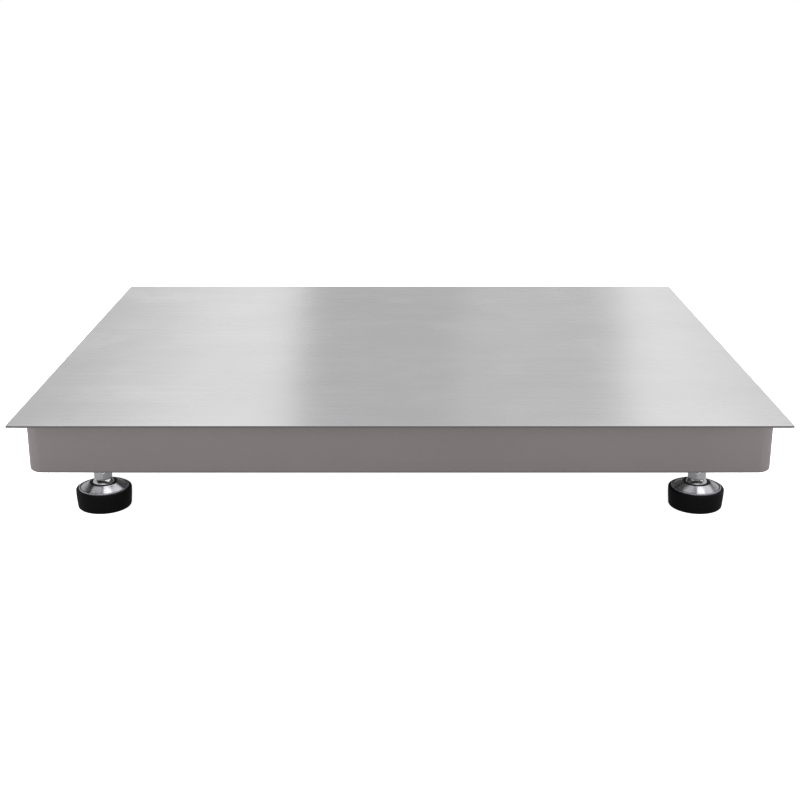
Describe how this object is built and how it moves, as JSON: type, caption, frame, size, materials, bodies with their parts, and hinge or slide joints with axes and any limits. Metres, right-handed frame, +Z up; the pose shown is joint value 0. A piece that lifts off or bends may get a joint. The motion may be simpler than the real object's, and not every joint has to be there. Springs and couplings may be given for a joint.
{
  "type": "animal weighing scale platform",
  "caption": "Low rectangular weighing platform with an overhanging flat steel deck, folded skirt, corner load cells and ball-jointed levelling feet.",
  "frame": {"origin": "on the floor, under the middle of the deck", "axes": "+X to the right along the deck's long side, +Y to the back, where the indicator's socket is, +Z up"},
  "size_m": [1, 0.8, 0.147],
  "materials": {
    "deck_steel": "fine brushed lines along the deck's length",
    "skirt_steel": "fine brushed lines along the skirt",
    "frame_steel": "mill finish with weld discolouration",
    "cell_steel": "satin nickel plating",
    "zinc_fasteners": "bright zinc plating",
    "foot_plating": "bright plating over turned steel",
    "foot_rubber": "smooth moulded rubber",
    "seat_nylon": "satin moulded nylon",
    "box_plastic": "fine moulded grain",
    "gasket_rubber": "matt cellular rubber",
    "gland_nylon": "satin moulded nylon",
    "cable_jacket": "smooth extruded jacket",
    "board_laminate": "solder mask over woven laminate",
    "socket_metal": "satin nickel plating"
  },
  "bodies": {
    "platform": {"deck_plate": "deck_steel", "deck_studs": "zinc_fasteners", "deck_nuts": "zinc_fasteners", "front_skirt": "skirt_steel", "rear_skirt": "skirt_steel", "left_skirt": "skirt_steel", "right_skirt": "skirt_steel", "left_cross_beam": "frame_steel", "right_cross_beam": "frame_steel", "inner_ribs": "frame_steel", "side_ribs": "frame_steel", "cell_plates": "frame_steel", "cell_spacers": "frame_steel", "cell_bolts": "zinc_fasteners", "cell_bolt_washers": "zinc_fasteners", "gauge_covers": "cell_steel", "junction_box_body": "box_plastic", "junction_box_gasket": "gasket_rubber", "junction_box_cover": "box_plastic", "junction_box_screws": "zinc_fasteners", "summing_board": "board_laminate", "cable_glands": "gland_nylon", "cell_cables": "cable_jacket", "output_cable": "cable_jacket", "cable_clips": "gland_nylon", "indicator_socket": "socket_metal", "socket_nut": "socket_metal", "front_left_load_cell": "cell_steel", "front_right_load_cell": "cell_steel", "rear_left_load_cell": "cell_steel", "rear_right_load_cell": "cell_steel"},
    "front_left_seat": {"front_left_ball_seat": "seat_nylon"},
    "front_left_stud": {"front_left_stud": "foot_plating"},
    "front_left_ring": {"front_left_ball_ring": "seat_nylon"},
    "front_left_base": {"front_left_foot_base": "foot_plating", "front_left_foot_pad": "foot_rubber"},
    "front_left_washer": {"front_left_lock_washer": "zinc_fasteners"},
    "front_left_nut": {"front_left_lock_nut": "foot_plating"},
    "front_right_seat": {"front_right_ball_seat": "seat_nylon"},
    "front_right_stud": {"front_right_stud": "foot_plating"},
    "front_right_ring": {"front_right_ball_ring": "seat_nylon"},
    "front_right_base": {"front_right_foot_base": "foot_plating", "front_right_foot_pad": "foot_rubber"},
    "front_right_washer": {"front_right_lock_washer": "zinc_fasteners"},
    "front_right_nut": {"front_right_lock_nut": "foot_plating"},
    "rear_left_seat": {"rear_left_ball_seat": "seat_nylon"},
    "rear_left_stud": {"rear_left_stud": "foot_plating"},
    "rear_left_ring": {"rear_left_ball_ring": "seat_nylon"},
    "rear_left_base": {"rear_left_foot_base": "foot_plating", "rear_left_foot_pad": "foot_rubber"},
    "rear_left_washer": {"rear_left_lock_washer": "zinc_fasteners"},
    "rear_left_nut": {"rear_left_lock_nut": "foot_plating"},
    "rear_right_seat": {"rear_right_ball_seat": "seat_nylon"},
    "rear_right_stud": {"rear_right_stud": "foot_plating"},
    "rear_right_ring": {"rear_right_ball_ring": "seat_nylon"},
    "rear_right_base": {"rear_right_foot_base": "foot_plating", "rear_right_foot_pad": "foot_rubber"},
    "rear_right_washer": {"rear_right_lock_washer": "zinc_fasteners"},
    "rear_right_nut": {"rear_right_lock_nut": "foot_plating"}
  },
  "joints": [
    {"name": "front_left_foot_height", "type": "slide", "parent": "platform", "child": "front_left_seat", "axis": [0, 0, -1], "range_m": [-0.014, 0.014]},
    {"name": "front_left_stud_turn", "type": "hinge", "parent": "front_left_seat", "child": "front_left_stud", "pos_m": [-0.404, -0.304, 0.029], "axis": [0, 0, -1], "range_deg": [-2520, 2520]},
    {"name": "front_left_tilt_sideways", "type": "hinge", "parent": "front_left_seat", "child": "front_left_ring", "pos_m": [-0.404, -0.304, 0.029], "axis": [0, 1, 0], "range_deg": [-8, 8]},
    {"name": "front_left_tilt_forwards", "type": "hinge", "parent": "front_left_ring", "child": "front_left_base", "pos_m": [-0.404, -0.304, 0.029], "axis": [1, 0, 0], "range_deg": [-8, 8]},
    {"name": "front_left_lock_travel", "type": "slide", "parent": "platform", "child": "front_left_washer", "axis": [0, 0, -1], "range_m": [0, 0.01]},
    {"name": "front_left_lock_turn", "type": "hinge", "parent": "front_left_washer", "child": "front_left_nut", "pos_m": [-0.404, -0.304, 0.0865], "axis": [0, 0, -1], "range_deg": [0, 1800]},
    {"name": "front_right_foot_height", "type": "slide", "parent": "platform", "child": "front_right_seat", "axis": [0, 0, -1], "range_m": [-0.014, 0.014]},
    {"name": "front_right_stud_turn", "type": "hinge", "parent": "front_right_seat", "child": "front_right_stud", "pos_m": [0.404, -0.304, 0.029], "axis": [0, 0, -1], "range_deg": [-2520, 2520]},
    {"name": "front_right_tilt_sideways", "type": "hinge", "parent": "front_right_seat", "child": "front_right_ring", "pos_m": [0.404, -0.304, 0.029], "axis": [0, 1, 0], "range_deg": [-8, 8]},
    {"name": "front_right_tilt_forwards", "type": "hinge", "parent": "front_right_ring", "child": "front_right_base", "pos_m": [0.404, -0.304, 0.029], "axis": [1, 0, 0], "range_deg": [-8, 8]},
    {"name": "front_right_lock_travel", "type": "slide", "parent": "platform", "child": "front_right_washer", "axis": [0, 0, -1], "range_m": [0, 0.01]},
    {"name": "front_right_lock_turn", "type": "hinge", "parent": "front_right_washer", "child": "front_right_nut", "pos_m": [0.404, -0.304, 0.0865], "axis": [0, 0, -1], "range_deg": [0, 1800]},
    {"name": "rear_left_foot_height", "type": "slide", "parent": "platform", "child": "rear_left_seat", "axis": [0, 0, -1], "range_m": [-0.014, 0.014]},
    {"name": "rear_left_stud_turn", "type": "hinge", "parent": "rear_left_seat", "child": "rear_left_stud", "pos_m": [-0.404, 0.304, 0.029], "axis": [0, 0, -1], "range_deg": [-2520, 2520]},
    {"name": "rear_left_tilt_sideways", "type": "hinge", "parent": "rear_left_seat", "child": "rear_left_ring", "pos_m": [-0.404, 0.304, 0.029], "axis": [0, 1, 0], "range_deg": [-8, 8]},
    {"name": "rear_left_tilt_forwards", "type": "hinge", "parent": "rear_left_ring", "child": "rear_left_base", "pos_m": [-0.404, 0.304, 0.029], "axis": [1, 0, 0], "range_deg": [-8, 8]},
    {"name": "rear_left_lock_travel", "type": "slide", "parent": "platform", "child": "rear_left_washer", "axis": [0, 0, -1], "range_m": [0, 0.01]},
    {"name": "rear_left_lock_turn", "type": "hinge", "parent": "rear_left_washer", "child": "rear_left_nut", "pos_m": [-0.404, 0.304, 0.0865], "axis": [0, 0, -1], "range_deg": [0, 1800]},
    {"name": "rear_right_foot_height", "type": "slide", "parent": "platform", "child": "rear_right_seat", "axis": [0, 0, -1], "range_m": [-0.014, 0.014]},
    {"name": "rear_right_stud_turn", "type": "hinge", "parent": "rear_right_seat", "child": "rear_right_stud", "pos_m": [0.404, 0.304, 0.029], "axis": [0, 0, -1], "range_deg": [-2520, 2520]},
    {"name": "rear_right_tilt_sideways", "type": "hinge", "parent": "rear_right_seat", "child": "rear_right_ring", "pos_m": [0.404, 0.304, 0.029], "axis": [0, 1, 0], "range_deg": [-8, 8]},
    {"name": "rear_right_tilt_forwards", "type": "hinge", "parent": "rear_right_ring", "child": "rear_right_base", "pos_m": [0.404, 0.304, 0.029], "axis": [1, 0, 0], "range_deg": [-8, 8]},
    {"name": "rear_right_lock_travel", "type": "slide", "parent": "platform", "child": "rear_right_washer", "axis": [0, 0, -1], "range_m": [0, 0.01]},
    {"name": "rear_right_lock_turn", "type": "hinge", "parent": "rear_right_washer", "child": "rear_right_nut", "pos_m": [0.404, 0.304, 0.0865], "axis": [0, 0, -1], "range_deg": [0, 1800]}
  ],
  "couplings": [
    {"joint": "front_left_stud_turn", "follows": "front_left_foot_height", "rad_per_m": 3141.6},
    {"joint": "front_left_lock_turn", "follows": "front_left_lock_travel", "rad_per_m": 3141.6},
    {"joint": "front_right_stud_turn", "follows": "front_right_foot_height", "rad_per_m": 3141.6},
    {"joint": "front_right_lock_turn", "follows": "front_right_lock_travel", "rad_per_m": 3141.6},
    {"joint": "rear_left_stud_turn", "follows": "rear_left_foot_height", "rad_per_m": 3141.6},
    {"joint": "rear_left_lock_turn", "follows": "rear_left_lock_travel", "rad_per_m": 3141.6},
    {"joint": "rear_right_stud_turn", "follows": "rear_right_foot_height", "rad_per_m": 3141.6},
    {"joint": "rear_right_lock_turn", "follows": "rear_right_lock_travel", "rad_per_m": 3141.6}
  ]
}
